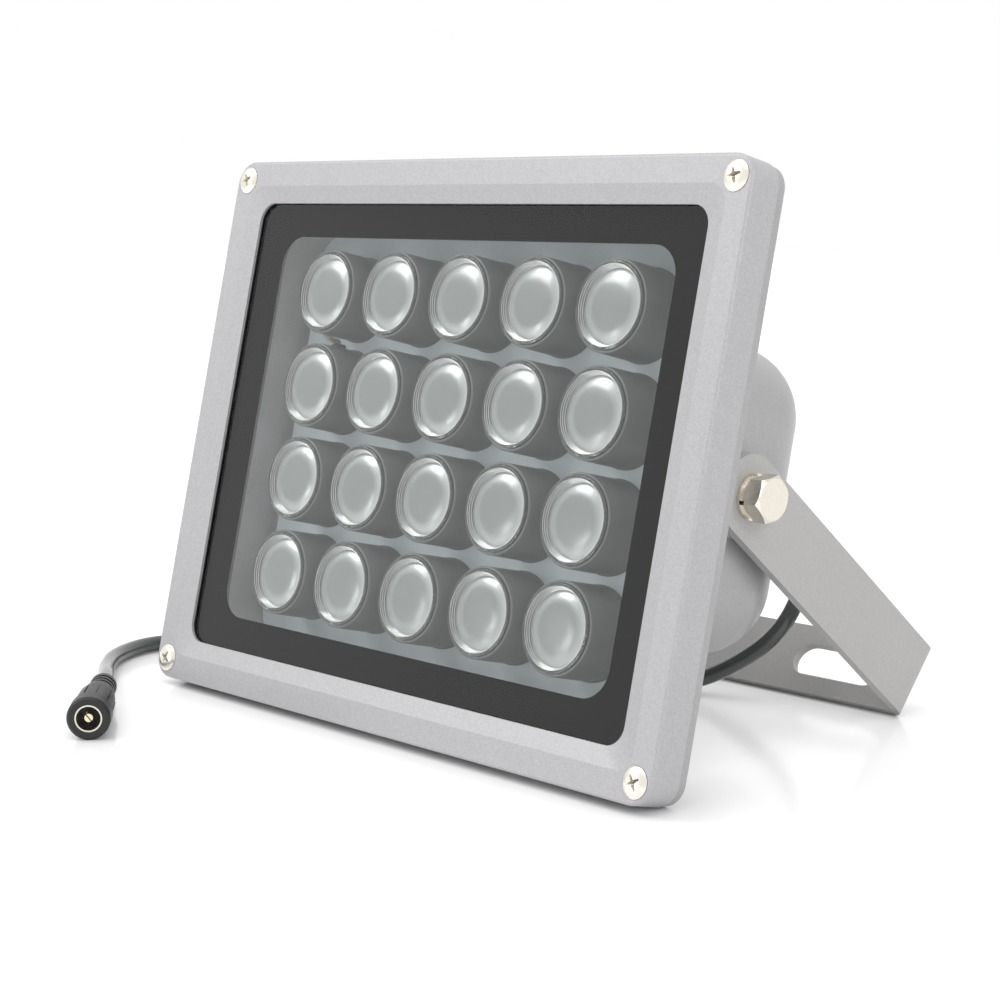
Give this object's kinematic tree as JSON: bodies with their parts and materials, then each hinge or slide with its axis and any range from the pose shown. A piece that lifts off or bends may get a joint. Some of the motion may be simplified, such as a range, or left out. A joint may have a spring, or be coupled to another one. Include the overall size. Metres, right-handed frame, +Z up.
{
  "type": "infrared illuminator",
  "caption": "Cast lamp head with a glazed front over rows of round lenses, held by a folded U bracket with slotted bar, with a cord and inline socket.",
  "frame": {"origin": "on the floor, under the middle of the head and its bracket, the cord left out", "axes": "+Z up, the front leans back and faces -Y, +X to the right seen from the front"},
  "size_m": [0.2146, 0.1795, 0.1364],
  "materials": {
    "cast_paint": "die-cast aluminium, silver-grey textured paint with a fine sparkle",
    "bracket_paint": "steel strip, matt grey paint",
    "bright_screw": "nickel-plated steel",
    "nickel": "nickel-plated steel",
    "clear_glass": "clear toughened glass",
    "black_rubber": "matt black",
    "dark_print": "charcoal print on glass",
    "board": "pale coated circuit board",
    "emitter": "moulded emitter package",
    "driver_board": "green coated circuit board",
    "coil": "enamelled copper winding",
    "capacitor": "sleeved can",
    "chip": "moulded package",
    "lead_beige": "beige insulation",
    "lead_dark": "black insulation",
    "gland_plastic": "black moulded nylon",
    "cord_sheath": "dark grey sheath, satin",
    "jack_plastic": "black moulding",
    "jack_contact": "plated brass pin",
    "clear_lens": "clear moulded lens with a frosted face",
    "dark_holder": "dark grey moulding"
  },
  "bodies": {
    "head": {"front_frame": "cast_paint", "rear_housing": "cast_paint", "frame_screws": "bright_screw", "front_glass": "clear_glass", "glass_seal": "black_rubber", "housing_seal": "black_rubber", "border_print": "dark_print", "led_board": "board", "board_screws": "bright_screw", "led_emitters": "emitter", "driver_board": "driver_board", "driver_coil": "coil", "driver_capacitors": "capacitor", "driver_spacers": "nickel", "driver_chip": "chip", "driver_screws": "bright_screw", "feed_lead_plus": "lead_beige", "feed_lead_minus": "lead_dark", "pivot_bolts": "nickel", "spring_washers": "nickel", "flat_washers": "nickel", "gland_body": "gland_plastic", "gland_cap": "gland_plastic", "gland_locknut": "gland_plastic", "gland_seal": "black_rubber", "cord_tail": "cord_sheath", "supply_cord": "cord_sheath", "jack_shell": "jack_plastic", "jack_boot": "jack_plastic", "jack_sleeve": "nickel", "jack_core": "jack_plastic", "jack_pin": "jack_contact", "lens_1_1": "clear_lens", "lens_1_2": "clear_lens", "lens_1_3": "clear_lens", "lens_1_4": "clear_lens", "lens_1_5": "clear_lens", "lens_2_1": "clear_lens", "lens_2_2": "clear_lens", "lens_2_3": "clear_lens", "lens_2_4": "clear_lens", "lens_2_5": "clear_lens", "lens_3_1": "clear_lens", "lens_3_2": "clear_lens", "lens_3_3": "clear_lens", "lens_3_4": "clear_lens", "lens_3_5": "clear_lens", "lens_4_1": "clear_lens", "lens_4_2": "clear_lens", "lens_4_3": "clear_lens", "lens_4_4": "clear_lens", "lens_4_5": "clear_lens", "lens_holders_row_1": "dark_holder", "lens_holders_row_2": "dark_holder", "lens_holders_row_3": "dark_holder", "lens_holders_row_4": "dark_holder"},
    "bracket_arm": {"bracket": "bracket_paint"}
  },
  "joints": [
    {"name": "bracket_tilt", "type": "hinge", "parent": "head", "child": "bracket_arm", "pos_m": [0, -0.00804, 0.06033], "axis": [1, 0, 0], "range_deg": [-45, 120]}
  ]
}
